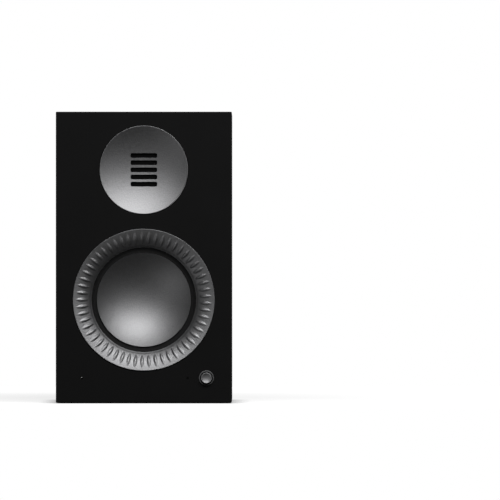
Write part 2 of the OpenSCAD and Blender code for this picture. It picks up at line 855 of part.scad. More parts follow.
module heatsink() {
    fin_n = 8;
    fin_out = 9;
    base_t = 2.4;
    sink_w = 46;
    sink_h = 62;
    fin_t = 1.8;
    color("#17181a") amp_at(sink_x, sink_v, -base_t) {
        box_at(sink_w, sink_h, base_t - 0.02);
        for (i = [0 : fin_n - 1])
            translate([(i / (fin_n - 1) - 0.5) * (sink_w - fin_t) - fin_t / 2, -sink_h / 2, -fin_out])
                cube([fin_t, sink_h, fin_out + base_t / 2]);
    }
}

module rca_barrels() {
    color("#c9a85a") for (x = rca_x) amp_at(x, rca_v, -9) tube(4.15, 3.4, 13);
}

module rca_core(x) {
    amp_at(x, rca_v) difference() {
        union() {
            translate([0, 0, -8.6]) cylinder(r = 3.35, h = 22);
            translate([0, 0, -1.4]) tube(5.6, 4.2, 1.35);
            translate([0, 0, -1.4]) tube(4.85, 4.2, 5.5);
            translate([0, 0, 4.05]) cylinder(r = 4.85, h = 9.4);
        }
        translate([0, 0, -8.6 - over]) cylinder(r = 1.6, h = 8 + over);
    }
}

module rca_core_white() {
    color("#dededb") rca_core(rca_x[0]);
}

module rca_core_red() {
    color("#a11f22") rca_core(rca_x[1]);
}

module usb_socket() {
    shell_w = 12;
    shell_h = 10.8;
    reach = 17;
    amp_at(usb_x, usb_v, -1.2) {
        color("#a9abad") difference() {
            box_at(shell_w, shell_h, reach);
            translate([0, 0, -over]) linear_extrude(10 + over) polygon([
                [-4.4, -4.2], [4.4, -4.2], [4.4, 2.4], [2.6, 4.2], [-2.6, 4.2], [-4.4, 2.4]
            ]);
        }
        color("#e6e6e2") translate([0, 0, 1.4]) box_at(5.6, 3, 9);
    }
}

module binding_studs() {
    color("#c9a85a") for (x = post_x) amp_at(x, post_v, -post_out) difference() {
        cylinder(r = post_stud_r, h = post_out + 14);
        translate([0, 0, -over]) cylinder(r = post_bore_r, h = 12 + over);
    }
}

module post_base() {
    plate_h = 2;
    color("#161616") amp_at((post_x[0] + post_x[1]) / 2, post_v, -plate_h) difference() {
        linear_extrude(plate_h - 0.02) round_rect(37, 19, 5);
        for (sx = [-1, 1]) translate([sx * (post_x[1] - post_x[0]) / 2, 0, -over])
            cylinder(r = post_stud_r + 0.02, h = plate_h + 2 * over);
    }
}

// A binding post's cap, which turns on its stud. Shallow grooves round the cap give grip.
module post_cap(x) {
    groove_r = 1.1;
    collar_h = 2.2;
    gap = 2.4;
    amp_at(x, post_v, -post_out + 0.2) difference() {
        union() {
            cylinder(r = post_cap_r, h = post_out - 0.2 - gap - collar_h);
            cylinder(r = post_cap_r - 1.6, h = post_out - 0.2 - gap);
        }
        translate([0, 0, -over]) cylinder(r = post_stud_r + 0.06, h = post_out + over);
        around(12) translate([post_cap_r + 0.5, 0, -over]) cylinder(r = groove_r, h = post_out);
    }
}

module post_cap_red() {
    color("#a11f22") post_cap(post_x[0]);
}

module post_cap_black() {
    color("#141414") post_cap(post_x[1]);
}

// The two-pin socket's outline, a figure with two round ends.
module inlet_outline() {
    end_r = 4.2;
    end_x = 4.1;
    for (sx = [-1, 1]) translate([sx * end_x, 0]) circle(end_r);
    square([2 * end_x, 2 * end_r], center = true);
}

module mains_inlet() {
    rim_h = 1.6;
    socket_deep = 14.5;
    color("#151515") amp_at(inlet_x, inlet_v) difference() {
        union() {
            translate([0, 0, -rim_h]) linear_extrude(rim_h - 0.02) round_rect(31, 21, 3);
            translate([0, 0, -0.5]) box_at(26, 16, 20.5);
        }
        translate([0, 0, -rim_h - over]) linear_extrude(socket_deep + over) inlet_outline();
        for (sx = [-1, 1]) translate([sx * pin_x, 0, pin_d + over]) cylinder(r = pin_r + 0.02, h = pin_l);
    }
}

module inlet_pins() {
    color("#c0c2c4") for (sx = [-1, 1]) amp_at(inlet_x + sx * pin_x, inlet_v, pin_d) {
        cylinder(r = pin_r, h = pin_l);
        sphere(r = pin_r);
    }
}

switch_pivot = 2;       // depth of the rocker's pivot behind the back face

module switch_body() {
    axle_hole = [1, 12.4];      // radius and length
    color("#141414") amp_at(switch_x, switch_v) difference() {
        union() {
            translate([0, 0, -1.5]) linear_extrude(1.48) round_rect(15.4, 21.6, 1.5);
            translate([0, 0, -0.5]) box_at(13, 19.2, 15);
        }
        translate([0, 0, -3 * over]) box_at(10.6, 16.2, 10.6);
        translate([0, 0, switch_pivot]) rotate([0, 90, 0])
            cylinder(r = axle_hole[0], h = axle_hole[1], center = true);
    }
}

// The rocker at rest is pressed in at its upper end.
module power_rocker() {
    rocker_w = 10;
    color("#1d1d1d") amp_at(switch_x, switch_v) translate([0, 0, switch_pivot]) rotate([switch_tilt, 0, 0]) {
        rotate([90, 0, 90]) linear_extrude(rocker_w, center = true) polygon([
            [-7, -5], [0, -3.5], [7, -5], [6.4, 0.8], [3, 2.6], [-3, 2.6], [-6.4, 0.8]
        ]);
        rotate([0, 90, 0]) cylinder(r = 0.93, h = 12, center = true);
    }
}

// Two wires to each driver. They leave the tub through its grommet.
module speaker_wires() {
    exit_y = back_y - amp_t - tub_l + 4;
    wire_r = 1.1;
    color("#8c1f1f") for (side = [-1, 1]) {
        wire([
            [30 + 2 * side, exit_y, amp_z + 18], [30 + 2 * side, exit_y - 14, amp_z + 18],
            [58, front_y + 92, woofer_z + 5 * side], [58, front_y + 36.5, woofer_z + 5 * side],
            [53.7, front_y + 36.5, woofer_z + 5 * side]
        ], wire_r);
        wire([
            [30 + 2 * side, exit_y, amp_z + 22], [30 + 2 * side, exit_y - 10, amp_z + 22],
            [30 + 3 * side, front_y + 72, 180], [6 * side, front_y + 58, 214],
            [6 * side, front_y + 49.5, 228]
        ], wire_r);
    }
}

front_baffle();
top_panel();
bottom_panel();
left_panel();
right_panel();
back_panel();
brace();
damping_felt();
feet();
woofer_basket();
woofer_screws();
trim_ring();
surround();
cone();
coil_former();
voice_coil();
spider();
top_plate();
magnet();
pole_piece();
woofer_terminal();
tweeter_faceplate();
tweeter_mesh();
tweeter_mount();
tweeter_screws();
amt_front_pole();
amt_diaphragm();
amt_frame();
amt_magnets();
amt_rear_pole();
tweeter_cup();
volume_knob();
knob_bezel();
encoder_shaft();
switch_plunger();
encoder_body();
control_board();
board_fixings();
status_lens();
ir_window();
ir_board();
port_tube();
amp_plate();
amp_screws();
amp_tub();
amp_board();
heatsink();
rca_barrels();
rca_core_white();
rca_core_red();
usb_socket();
binding_studs();
post_base();
post_cap_red();
post_cap_black();
mains_inlet();
inlet_pins();
switch_body();
power_rocker();
speaker_wires();
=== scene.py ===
"""Active bookshelf speaker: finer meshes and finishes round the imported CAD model."""
import json
import math

import bpy
import numpy as np
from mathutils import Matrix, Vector
from mathutils.geometry import delaunay_2d_cdt


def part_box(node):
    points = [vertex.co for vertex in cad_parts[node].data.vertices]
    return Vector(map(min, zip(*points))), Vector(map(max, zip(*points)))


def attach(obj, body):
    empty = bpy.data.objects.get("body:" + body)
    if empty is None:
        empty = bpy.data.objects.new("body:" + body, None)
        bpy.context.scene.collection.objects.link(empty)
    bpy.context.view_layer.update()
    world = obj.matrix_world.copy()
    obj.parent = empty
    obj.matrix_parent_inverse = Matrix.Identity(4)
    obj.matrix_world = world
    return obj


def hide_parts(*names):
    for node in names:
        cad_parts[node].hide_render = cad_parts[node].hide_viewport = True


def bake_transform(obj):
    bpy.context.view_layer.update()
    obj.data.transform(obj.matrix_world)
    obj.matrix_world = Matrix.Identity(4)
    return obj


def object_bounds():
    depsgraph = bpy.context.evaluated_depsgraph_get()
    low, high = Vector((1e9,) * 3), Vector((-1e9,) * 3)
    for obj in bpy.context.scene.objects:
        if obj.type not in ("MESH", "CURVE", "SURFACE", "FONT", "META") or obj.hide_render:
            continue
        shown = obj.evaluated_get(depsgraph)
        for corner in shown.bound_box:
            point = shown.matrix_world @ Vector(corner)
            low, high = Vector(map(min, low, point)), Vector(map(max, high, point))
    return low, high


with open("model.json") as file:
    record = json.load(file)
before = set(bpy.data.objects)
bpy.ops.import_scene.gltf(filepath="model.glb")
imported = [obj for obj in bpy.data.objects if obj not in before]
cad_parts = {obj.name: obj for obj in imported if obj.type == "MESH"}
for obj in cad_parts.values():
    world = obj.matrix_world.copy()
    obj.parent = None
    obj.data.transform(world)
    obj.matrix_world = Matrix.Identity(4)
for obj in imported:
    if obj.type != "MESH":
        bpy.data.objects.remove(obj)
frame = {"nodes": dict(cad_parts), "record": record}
CAD_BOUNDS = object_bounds()
NODES = frame["nodes"]
SLOT_OF = {s["node"]: s["material_slot"] for s in frame["record"]["subparts"]}
MM = 0.001

# ---- places, from the frame ----

FRONT_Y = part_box("front_baffle")[0].y
BODY_LOW, BODY_HIGH = CAD_BOUNDS


def axis_of(node):
    """The point where a round node's axis, which runs along Y, meets the baffle's front face."""
    low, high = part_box(node)
    return Vector(((low.x + high.x) / 2, FRONT_Y, (low.z + high.z) / 2))


WOOFER = axis_of("trim_ring")
TWEETER = axis_of("tweeter_faceplate")
KNOB = axis_of("volume_knob")

# ---- sizes in millimetres ----
# In a name, _R is a radius, _D a depth behind the baffle's front face, _OUT how far a face stands in front
# of the baffle, _T a thickness, and _EASE the length that rounds an edge.

RING_R = 71.1
RING_OUT = 1.5
RING_CHAMFER = 0.5
RING_EASE = 0.15
RIM_EASE = 0.3
BELL_R = (54.4, 70.6)
BELL_SLOPE = 0.22  # the bell's fall at its rim
BELL_CURL = 0.00067  # how fast the fall grows inwards
LIP_R = 53.4
LIP_D = (6.6, 7.4)  # at the step and at the bore
RING_BORE_R = 52.3
RING_FOOT_D = 8.1
RING_BACK = [(54.8, RING_FOOT_D), (58.0, 4.6), (62.0, 2.5), (67.2, 1.2)]  # from the foot to the skirt
SKIRT_R = (67.2, 68.9)
SKIRT_END_D = 12.4

RIBS = 57
RIB_R = (55.5, 68.3)
RIB_W = 3.8
RIB_H = 0.9
RIB_SKEW = 0.3  # moves the crest towards the bore
RIB_POINT = 0.8  # 0.5 would make each rib's outline an ellipse, and 1 two parabolas that meet in points

CONE_R = 46.9
CONE_RIM_D = 7.6
CONE_SAG = 14.0
CONE_T = 0.6
CONE_EDGE = 0.12  # how far the rim's edge bulges

SURROUND_D = 8.3
SURROUND_T = 0.6
SURROUND_EDGE_R = 57.0
SURROUND_EASES = (0.5, 0.3)  # two roundings, one after the other
SURROUND_GLUE = (44.0, 1.97)  # its inner edge: radius, and depth behind SURROUND_D
ROLL = [(45.6, 1.05), (48.4, 1.0), (49.6, 0.9), (50.8, 0.5), (51.9, 0.0)]  # the same for its face
ROLL_BACK = [(52.1, 0.6), (50.9, 1.1), (49.6, 1.5), (48.4, 1.6), (45.9, 1.65)]  # and for its back

SPIDER_R = (19.4, 36.6)
SPIDER_EDGE_R = 39.8
SPIDER_D = 31.2
SPIDER_T = 0.4
SPIDER_WAVE = 0.8
SPIDER_RIPPLES = 4

FACE_R = 44.2
FACE_OUT = 0.5
FACE_SAG = 7.0
FACE_RIM = 0.45
FACE_CHAMFER = 0.2
FACE_EASE = 0.18
FACE_T = 1.6
FACE_END_D = 8.4
FACE_AROUND = 240  # points round its rim
FACE_GRID = 1.4  # distance between the points inside it
SLOTS = 5
SLOT_W = 26.4
SLOT_H = 4.5
SLOT_PITCH = 7.16
SLOT_CORNER = 1.4
SLOT_EASE = 0.2

KNOB_R = 5.5
KNOB_OUT = 5.4
KNOB_RIM = 0.7
KNOB_DISH = 0.8
KNOB_FALL = 0.02  # of the rim's face, outwards
KNOB_CHAMFER = (0.3, 0.35)  # across and back
KNOB_EASE = 0.2
KNOB_END_D = 8.0
BEZEL_R = (6.2, 7.7)
BEZEL_OUT = 0.8
BEZEL_CHAMFER = (0.3, 0.4)  # inside and outside
BEZEL_EASE = 0.15
BEZEL_SLEEVE_R = 6.95
BEZEL_END_D = 8.5
LENS_EASE = 0.08


# ---- mesh helpers ----

def make_object(name, points, faces, sharp=32):
    """A smooth-shaded mesh object, with creases left sharp above an angle in degrees."""
    mesh = bpy.data.meshes.new(name)
    mesh.from_pydata([tuple(p) for p in points], [], [tuple(f) for f in faces])
    mesh.validate()
    mesh.update()
    mesh.shade_smooth()
    mesh.set_sharp_from_angle(angle=math.radians(sharp))
    thing = bpy.data.objects.new(name, mesh)
    bpy.context.scene.collection.objects.link(thing)
    return thing


def eased(points, radius, steps=4, closed=True):
    """The outline with each corner rounded by a short curve. An open outline keeps its two ends."""
    out = []
    count = len(points)
    most = 0.45  # share of a side that one corner's curve may take
    for i, corner in enumerate(points):
        if not closed and i in (0, count - 1):
            out.append(tuple(corner))
            continue
        here = np.array(corner, float)
        before = np.array(points[i - 1], float) - here
        after = np.array(points[(i + 1) % count], float) - here
        reach = min(radius, np.linalg.norm(before) * most, np.linalg.norm(after) * most)
        start = here + before / np.linalg.norm(before) * reach
        end = here + after / np.linalg.norm(after) * reach
        for k in range(steps + 1):
            t = k / steps
            out.append(tuple((1 - t) ** 2 * start + 2 * t * (1 - t) * here + t * t * end))
    return out


def lathe(name, centre, profile, steps=256, closed=True, shift=None, sharp=32):
    """Revolves (radius, depth) points, in millimetres, about the Y axis through centre.
    An open profile starts and ends on the axis. shift(radius, depth, angles) says how many millimetres
    the surface moves towards the axis, and how many along -Y."""
    angles = np.arange(steps) * 2 * math.pi / steps
    rings = profile if closed else profile[1:-1]
    points = []
    for radius, depth in rings:
        inward, forward = shift(radius, depth, angles) if shift else (0.0, 0.0)
        r = (radius - inward) * np.ones(steps)
        d = (depth - forward) * np.ones(steps)
        points += list(np.stack([r * np.sin(angles), d, r * np.cos(angles)], axis=1))
    count = len(rings)
    faces = []
    for i in range(count if closed else count - 1):
        j = (i + 1) % count
        for k in range(steps):
            m = (k + 1) % steps
            faces.append((i * steps + k, i * steps + m, j * steps + m, j * steps + k))
    if not closed:
        first, last = len(points), len(points) + 1
        points += [np.array([0, profile[0][1], 0]), np.array([0, profile[-1][1], 0])]
        for k in range(steps):
            m = (k + 1) % steps
            faces.append((first, m, k))
            faces.append((last, (count - 1) * steps + k, (count - 1) * steps + m))
    world = np.array(points) * MM + np.array(centre)
    return make_object(name, world, faces, sharp)


def ball_radius(rim_r, sag):
    """The radius of the ball that a dish of this radius and depth is cut from."""
    return (rim_r ** 2 + sag ** 2) / (2 * sag)


def stand_for(piece, node, body="cabinet", material=None):
    """The piece takes the place of a CAD node and rides on its body."""
    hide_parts(node)
    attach(piece, body)
    piece.data.materials.append(material)
    return piece


# ---- finishes ----

NOISE_SPAN = (0.3, 0.7)  # most of a noise texture's values lie between these
COAT_ROUGHNESS = 0.1


def grey(value):
    """A grey that is slightly cool."""
    return (value, value, value * 1.02)


def noise(tree, place, scale, detail):
    """A noise texture that takes its place from another node."""
    texture = tree.nodes.new("ShaderNodeTexNoise")
    texture.inputs["Scale"].default_value = scale
    texture.inputs["Detail"].default_value = detail
    tree.links.new(place.outputs["Vector"], texture.inputs["Vector"])
    return texture


def tinted(tree, clouds, fine, colour, spread, speckle):
    """A colour that varies by a share of itself, with the clouds and the fine grain.
    speckle is the grain's part in that, from 0 to 1."""
    blotch = tree.nodes.new("ShaderNodeMix")
    blotch.inputs["Factor"].default_value = speckle
    tree.links.new(clouds.outputs["Fac"], blotch.inputs["A"])
    tree.links.new(fine.outputs["Fac"], blotch.inputs["B"])
    tint = tree.nodes.new("ShaderNodeValToRGB")
    for end, place, share in zip(tint.color_ramp.elements, NOISE_SPAN, (1 - spread, 1 + spread)):
        end.position = place
        end.color = (*[min(1, c * share) for c in colour], 1)
    tree.links.new(blotch.outputs["Result"], tint.inputs["Fac"])
    return tint


def grainy_gloss(tree, fine, rough):
    """A roughness that varies between two values with the fine grain."""
    gloss = tree.nodes.new("ShaderNodeMapRange")
    gloss.inputs["From Min"].default_value = NOISE_SPAN[0]
    gloss.inputs["From Max"].default_value = NOISE_SPAN[1]
    gloss.inputs["To Min"].default_value = rough[0]
    gloss.inputs["To Max"].default_value = rough[1]
    tree.links.new(fine.outputs["Fac"], gloss.inputs["Value"])
    return gloss


def relief_of(tree, texture, bump, depth):
    """A bump that lifts the surface where the texture is high."""
    relief = tree.nodes.new("ShaderNodeBump")
    relief.inputs["Strength"].default_value = bump
    relief.inputs["Distance"].default_value = depth
    tree.links.new(texture.outputs["Fac"], relief.inputs["Height"])
    return relief


def finish(name, colour, spread=0.1, metallic=0.0, rough=(0.4, 0.5), cloud=25, grain=900, bump=0.1,
           depth=0.00005, specular=0.5, coat=0.0, sheen=0.0, stretch=(1, 1, 1), soft=0.0, speckle=0.0):
    """A procedural finish: cloudy colour, and grain in the gloss and the surface.
    soft is the radius in metres that edges look rounded by."""
    material = bpy.data.materials.new(name)
    material.use_nodes = True
    tree = material.node_tree
    shader = tree.nodes["Principled BSDF"]
    shader.inputs["Metallic"].default_value = metallic
    shader.inputs["Specular IOR Level"].default_value = specular
    shader.inputs["Coat Weight"].default_value = coat
    shader.inputs["Coat Roughness"].default_value = COAT_ROUGHNESS
    shader.inputs["Sheen Weight"].default_value = sheen
    place = tree.nodes.new("ShaderNodeTexCoord")
    warp = tree.nodes.new("ShaderNodeMapping")
    warp.inputs["Scale"].default_value = stretch
    tree.links.new(place.outputs["Object"], warp.inputs["Vector"])
    clouds = noise(tree, warp, cloud, detail=5)
    fine = noise(tree, warp, grain, detail=3)
    tint = tinted(tree, clouds, fine, colour, spread, speckle)
    tree.links.new(tint.outputs["Color"], shader.inputs["Base Color"])
    gloss = grainy_gloss(tree, fine, rough)
    tree.links.new(gloss.outputs["Result"], shader.inputs["Roughness"])
    relief = relief_of(tree, fine, bump, depth)
    tree.links.new(relief.outputs["Normal"], shader.inputs["Normal"])
    if soft:
        edges = tree.nodes.new("ShaderNodeBevel")
        edges.samples = 6
        edges.inputs["Radius"].default_value = soft
        tree.links.new(edges.outputs["Normal"], relief.inputs["Normal"])
    return material


def silver(name, value, rough=(0.45, 0.52)):
    """Metallic silver paint, which is speckled and slightly uneven."""
    return finish(name, grey(value), spread=0.12, metallic=1.0, rough=rough, cloud=40, bump=0.7,
                  depth=0.0002, speckle=0.8)


def turned(name, colour, centre, rough):
    """Metal turned on a lathe: fine rings about an axis along Y."""
    material = finish(name, colour, spread=0.05, metallic=1.0, rough=rough, bump=0.05)
    tree = material.node_tree
    place = next(n for n in tree.nodes if n.bl_idname == "ShaderNodeTexCoord")
    relief = next(n for n in tree.nodes if n.bl_idname == "ShaderNodeBump")
    pitch = 0.00025
    offset = tree.nodes.new("ShaderNodeMapping")
    offset.inputs["Location"].default_value = (-centre.x, 0, -centre.z)
    offset.inputs["Scale"].default_value = (1, 0, 1)
    tree.links.new(place.outputs["Object"], offset.inputs["Vector"])
    radius = tree.nodes.new("ShaderNodeVectorMath")
    radius.operation = "LENGTH"
    tree.links.new(offset.outputs["Vector"], radius.inputs[0])
    rings = tree.nodes.new("ShaderNodeTexNoise")
    rings.noise_dimensions = "1D"
    rings.inputs["Scale"].default_value = 1 / pitch
    rings.inputs["Detail"].default_value = 2
    tree.links.new(radius.outputs["Value"], rings.inputs["W"])
    groove = relief_of(tree, rings, bump=0.25, depth=0.00002)
    tree.links.new(groove.outputs["Normal"], relief.inputs["Normal"])
    return material


RING_SILVER = silver("satin_silver_paint", 0.33)
PLATE_SILVER = silver("satin_silver_plate", 0.308, rough=(0.42, 0.49))

FINISHES = {
    "cabinet_black": finish("lacquer_black", grey(0.0052), rough=(0.62, 0.72), specular=0.14, grain=2200,
                            bump=0.04),
    "fibreboard": finish("raw_fibreboard", (0.34, 0.22, 0.12), spread=0.15, rough=(0.8, 0.95), bump=0.4),
    "felt": finish("grey_felt", grey(0.07), spread=0.3, rough=(0.9, 1.0), grain=700, bump=1.0, sheen=0.4),
    "foot_rubber": finish("foot_rubber", grey(0.012), rough=(0.75, 0.9), grain=1200, bump=0.3),
    "basket_metal": finish("powder_coat", grey(0.02), rough=(0.45, 0.6), grain=1800, bump=0.6),
    "black_steel": finish("black_oxide", grey(0.03), metallic=0.9, rough=(0.3, 0.42), grain=1500),
    "silver_trim": RING_SILVER,
    "cone_silver": silver("satin_silver_cone", 0.33),
    "surround_rubber": finish("surround_rubber", grey(0.0065), rough=(0.6, 0.75), specular=0.2, grain=1500,
                              bump=0.2),
    "former_film": finish("former_film", (0.42, 0.3, 0.12), rough=(0.3, 0.4), cloud=80),
    "copper": finish("coil_copper", (0.75, 0.3, 0.14), metallic=1.0, rough=(0.25, 0.35), grain=400,
                     stretch=(1, 14, 1), bump=0.6),
    "spider_cloth": finish("spider_cloth", (0.5, 0.33, 0.09), spread=0.2, rough=(0.8, 0.95), bump=0.8),
    "plated_steel": finish("zinc_plate", grey(0.5), metallic=1.0, rough=(0.25, 0.4), cloud=60),
    "ferrite": finish("ferrite", grey(0.03), spread=0.25, rough=(0.6, 0.8), grain=800, bump=0.5),
    "terminal_metal": finish("tinned_tags", (0.6, 0.52, 0.36), metallic=1.0, rough=(0.25, 0.35)),
    "mesh_black": finish("black_gauze", grey(0.003), rough=(0.85, 0.95), grain=1600, bump=1.0,
                         specular=0.1),
    "moulded_black": finish("moulded_black", grey(0.012), rough=(0.42, 0.55), grain=1600, bump=0.35,
                            specular=0.4, soft=0.0005),
    "pole_steel": finish("black_zinc", grey(0.03), metallic=0.8, rough=(0.35, 0.5)),
    "film_metal": finish("aluminium_film", (0.62, 0.45, 0.25), metallic=0.9, rough=(0.2, 0.3),
                         stretch=(1, 1, 6)),
    "knob_metal": turned("turned_knob", grey(0.33), KNOB, rough=(0.46, 0.56)),
    "bezel_metal": turned("turned_bezel", grey(0.18), KNOB, rough=(0.5, 0.6)),
    "steel": finish("plain_steel", grey(0.55), metallic=1.0, rough=(0.2, 0.3)),
    "plunger_plastic": finish("white_plastic", grey(0.6), rough=(0.35, 0.45)),
    "board_green": finish("circuit_board", (0.012, 0.09, 0.03), spread=0.3, rough=(0.25, 0.35), cloud=180),
    "fixing_metal": finish("bright_zinc", grey(0.6), metallic=1.0, rough=(0.25, 0.35)),
    "lens_smoke": finish("smoked_lens", grey(0.004), rough=(0.2, 0.26), coat=0.2),
    "ir_dark": finish("dark_window", grey(0.004), rough=(0.1, 0.14), coat=0.8),
    "panel_black": finish("anodised_panel", grey(0.022), metallic=0.6, grain=1400, stretch=(1, 1, 14),
                          bump=0.2, soft=0.0005),
    "sink_black": finish("anodised_cooler", grey(0.02), metallic=0.6, rough=(0.38, 0.5), grain=1100,
                         stretch=(1, 1, 0.08), bump=0.3, soft=0.0004),
    "gold_plate": finish("gold_plate", (0.78, 0.53, 0.2), metallic=1.0, rough=(0.16, 0.26), spread=0.05),
    "core_white": finish("core_white", grey(0.68), rough=(0.3, 0.4), soft=0.0003),
    "red_plastic": finish("red_plastic", (0.42, 0.012, 0.014), rough=(0.3, 0.4), soft=0.0004),
    "usb_metal": finish("nickel", grey(0.42), metallic=1.0, rough=(0.35, 0.45), soft=0.0003),
    "cap_black": finish("cap_black", grey(0.012), rough=(0.34, 0.44), soft=0.0004),
    "pin_metal": finish("pin_nickel", grey(0.65), metallic=1.0, rough=(0.15, 0.25)),
    "rocker_black": finish("rocker_black", grey(0.014), rough=(0.55, 0.65), grain=1500, specular=0.3,
                           soft=0.0004),
    "wire_red": finish("wire_red", (0.3, 0.012, 0.012)),
}


def dress_cad():
    """Every CAD node gets its slot's finish."""
    for name, thing in NODES.items():
        thing.data.materials.clear()
        thing.data.materials.append(FINISHES[SLOT_OF[name]])


# ---- woofer ----

def bell_depth(radius):
    """Depth of the trim ring's bell. It falls faster and faster inwards."""
    inwards = BELL_R[1] - radius
    return BELL_SLOPE * inwards + BELL_CURL * inwards ** 3 - RING_OUT


def bell_lean(radius):
    """The unit vector out of the bell at a radius, as shares towards the axis and forward."""
    inwards = BELL_R[1] - radius
    fall = BELL_SLOPE + 3 * BELL_CURL * inwards ** 2
    length = math.hypot(1, fall)
    return fall / length, 1 / length


def raise_ribs(radius, depth, angles):
    """How far the pointed ribs push the bell out, towards the axis and forward. Off the bell, nothing."""
    middle = (RIB_R[0] + RIB_R[1]) / 2
    along = (radius - middle) / (RIB_R[1] - middle)
    near = 1e-6
    if abs(along) >= 1 or abs(depth - bell_depth(radius)) > near:
        return 0.0, 0.0
    swell = (1 - along * along) ** RIB_POINT
    turn = (angles + math.pi / 2) * RIBS / (2 * math.pi)
    across = np.abs(turn - np.round(turn)) * 2 * math.pi / RIBS * radius
    share = np.clip(across / (RIB_W / 2 * swell), 0, 1)
    crest = 1 - (along + RIB_SKEW * (1 - along * along)) ** 2
    height = RIB_H * crest * (1 - share ** 2)
    inward, forward = bell_lean(radius)
    return height * inward, height * forward


def make_trim_ring():
    """The ring's bell with pointed radial ribs, the step and lip inside it, and its skirt."""
    rows = 48
    rim_r = BELL_R[1] - RIM_EASE
    step = (rim_r - BELL_R[0]) / rows
    bell = [(rim_r - step * k, bell_depth(rim_r - step * k)) for k in range(rows + 1)]
    inside = eased([
        bell[-1], (LIP_R, LIP_D[0]), (RING_BORE_R, LIP_D[1]), (RING_BORE_R, RING_FOOT_D), *RING_BACK,
        (SKIRT_R[0], SKIRT_END_D), (SKIRT_R[1], SKIRT_END_D), (SKIRT_R[1], 0.0), (RING_R, 0.0),
    ], RING_EASE, closed=False)
    rim = eased([
        (RING_R, 0.0), (RING_R, RING_CHAMFER - RING_OUT), (BELL_R[1], -RING_OUT), bell[0],
    ], RIM_EASE, steps=6, closed=False)
    profile = bell + inside[1:] + rim[1:-1]
    ring = lathe("trim_ring_fine", WOOFER, profile, steps=RIBS * 20, shift=raise_ribs, sharp=50)
    return stand_for(ring, "trim_ring", material=RING_SILVER)


def make_cone():
    """A one-piece dish with a rounded rim."""
    ball = ball_radius(CONE_R, CONE_SAG)
    middle = CONE_RIM_D + CONE_SAG - ball
    rings = 60

    def dish(radius, r):
        """Depth at r of a ball with this radius."""
        return middle + math.sqrt(radius ** 2 - r ** 2)

    radii = [CONE_R * k / rings for k in range(rings + 1)]
    rim_middle = (CONE_R + CONE_EDGE, (dish(ball, CONE_R) + dish(ball + CONE_T, CONE_R)) / 2)
    profile = [(r, dish(ball, r)) for r in radii] + [rim_middle]
    profile += [(r, dish(ball + CONE_T, r)) for r in reversed(radii)]
    cone = lathe("cone_fine", WOOFER, profile, closed=False)
    return stand_for(cone, "cone", "cone_assembly", FINISHES["cone_silver"])


def radial_blend(piece, inner, outer):
    """Bakes the piece's placement into its mesh, without bending it. inner and outer are not used."""
    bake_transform(piece)


def make_bending_ring(name, node, profile, blend, steps=256):
    """A ring between the cone and the cabinet, with its placement baked into its mesh."""
    piece = lathe(name, WOOFER, profile, steps=steps, sharp=50)
    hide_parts(node)
    piece.data.materials.append(FINISHES[SLOT_OF[node]])
    radial_blend(piece, *blend)
    return piece


def make_surround():
    """A rubber sheet that dips between the cone's rim and the ring, glued behind the cone."""
    glued_r, glued_d = SURROUND_GLUE[0], SURROUND_D + SURROUND_GLUE[1]
    front = [(glued_r, glued_d)] + [(r, SURROUND_D + d) for r, d in ROLL]
    front += [(SURROUND_EDGE_R, SURROUND_D), (SURROUND_EDGE_R, SURROUND_D + SURROUND_T)]
    back = [(r, SURROUND_D + d) for r, d in ROLL_BACK] + [(glued_r, glued_d + SURROUND_T)]
    profile = eased(eased(front + back, SURROUND_EASES[0], steps=2), SURROUND_EASES[1], steps=3)
    return make_bending_ring("surround_fine", "surround", profile, (ROLL[0][0], ROLL[-1][0]))


def make_spider():
    """The corrugated cloth that centres the coil."""
    inner, outer = SPIDER_R
    steps = 64
    clamp = 1.0  # width taken off each end of the radii handed to radial_blend
    line = [
        (inner + (outer - inner) * k / steps,
         SPIDER_D + SPIDER_WAVE * math.sin(2 * math.pi * SPIDER_RIPPLES * k / steps))
        for k in range(steps + 1)
    ] + [(SPIDER_EDGE_R, SPIDER_D)]
    profile = line + [(r, d + SPIDER_T) for r, d in reversed(line)]
    return make_bending_ring("spider_fine", "spider", profile, (inner + clamp, outer - clamp), steps=160)


# ---- tweeter ----

FACE_DISH_R = FACE_R - FACE_RIM
FACE_BALL = ball_radius(FACE_DISH_R, FACE_SAG)
SLOT_MIDDLES = [(i - (SLOTS - 1) / 2) * SLOT_PITCH for i in range(SLOTS)]


def face_depth(x, z, behind=0.0):
    """Depth of the plate's dished face at x and z from its centre, or of the dish that far behind it."""
    middle = FACE_SAG - FACE_OUT - FACE_BALL
    return middle + math.sqrt((FACE_BALL + behind) ** 2 - x * x - z * z)


def slot_size(grow):
    """Half a slot's width, half its height and its corner's radius, when it is grown all round."""
    return SLOT_W / 2 + grow, SLOT_H / 2 + grow, SLOT_CORNER + grow


def slot_outline(middle, grow):
    """A slot's rounded outline, counter-clockwise, in x and z about the tweeter's centre."""
    half_w, half_h, r = slot_size(grow)
    steps = 6  # in each corner
    longest = 1.2  # side of the outline
    out = []
    for turn, sx, sz in ((0, 1, 1), (90, -1, 1), (180, -1, -1), (270, 1, -1)):
        for k in range(steps + 1):
            a = math.radians(turn + 90 * k / steps)
            out.append((sx * (half_w - r) + r * math.cos(a), middle + sz * (half_h - r) + r * math.sin(a)))
    dense = []
    for i, here in enumerate(out):
        there = out[(i + 1) % len(out)]
        pieces = max(1, round(math.dist(here, there) / longest))
        dense += [
            (here[0] + (there[0] - here[0]) * k / pieces, here[1] + (there[1] - here[1]) * k / pieces)
            for k in range(pieces)
        ]
    return dense


def in_a_slot(x, z, grow):
    """Whether a point lies in one of the slots, when they are grown all round."""
    half_w, half_h, r = slot_size(grow)
    for middle in SLOT_MIDDLES:
        dx = max(abs(x) - (half_w - r), 0)
        dz = max(abs(z - middle) - (half_h - r), 0)
        if math.hypot(dx, dz) < r:
            return True
    return False


